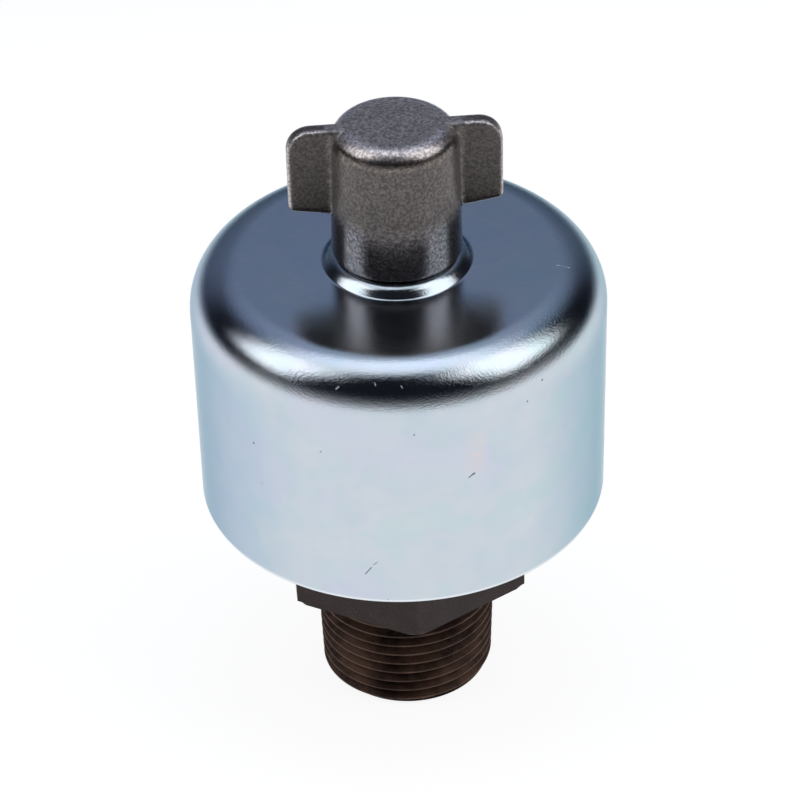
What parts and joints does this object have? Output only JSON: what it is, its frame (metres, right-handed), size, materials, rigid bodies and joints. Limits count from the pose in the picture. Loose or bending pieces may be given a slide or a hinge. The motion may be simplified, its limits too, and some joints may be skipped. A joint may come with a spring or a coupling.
{
  "type": "breather vent cap",
  "caption": "Screw-in air breather: drawn metal cover over a pleated filter element, held by a cast wing nut on a stud, on a hexagon body with a taper pipe thread.",
  "frame": {"origin": "on the thread's axis, at the open end face of the pipe thread", "axes": "+Z along the axis from the pipe thread to the wing nut; the wings lie along X and two hexagon corners along Y"},
  "size_m": [0.0596, 0.0594, 0.0959],
  "materials": {
    "zinc_plated_sheet": "bright zinc plate with a blue passivate",
    "cast_nut": "fine cast grain, brown-grey",
    "phosphated_steel": "dark brown phosphate",
    "seal_rubber": "matt",
    "bright_steel": "turned, bright",
    "tinned_sheet": "stamped, satin",
    "filter_paper": "resin-treated paper"
  },
  "bodies": {
    "breather": {"body": "phosphated_steel", "stud": "bright_steel", "lock_washer": "bright_steel", "lock_nut": "bright_steel", "lower_gasket": "seal_rubber", "bottom_end_cap": "tinned_sheet", "element_core": "tinned_sheet", "pleated_media": "filter_paper", "top_end_cap": "tinned_sheet", "upper_gasket": "seal_rubber", "cover": "zinc_plated_sheet"},
    "seal": {"nut_seal": "seal_rubber"},
    "nut": {"wing_nut": "cast_nut"}
  },
  "joints": [
    {"name": "nut_lift", "type": "slide", "parent": "breather", "child": "seal", "axis": [0, 0, 1], "range_m": [0, 0.01]},
    {"name": "nut_turn", "type": "hinge", "parent": "seal", "child": "nut", "pos_m": [0, 0, 0.08], "axis": [0, 0, 1], "range_deg": [0, 2880]}
  ],
  "couplings": [
    {"joint": "nut_lift", "follows": "nut_turn", "m_per_rad": 0.00019894}
  ]
}
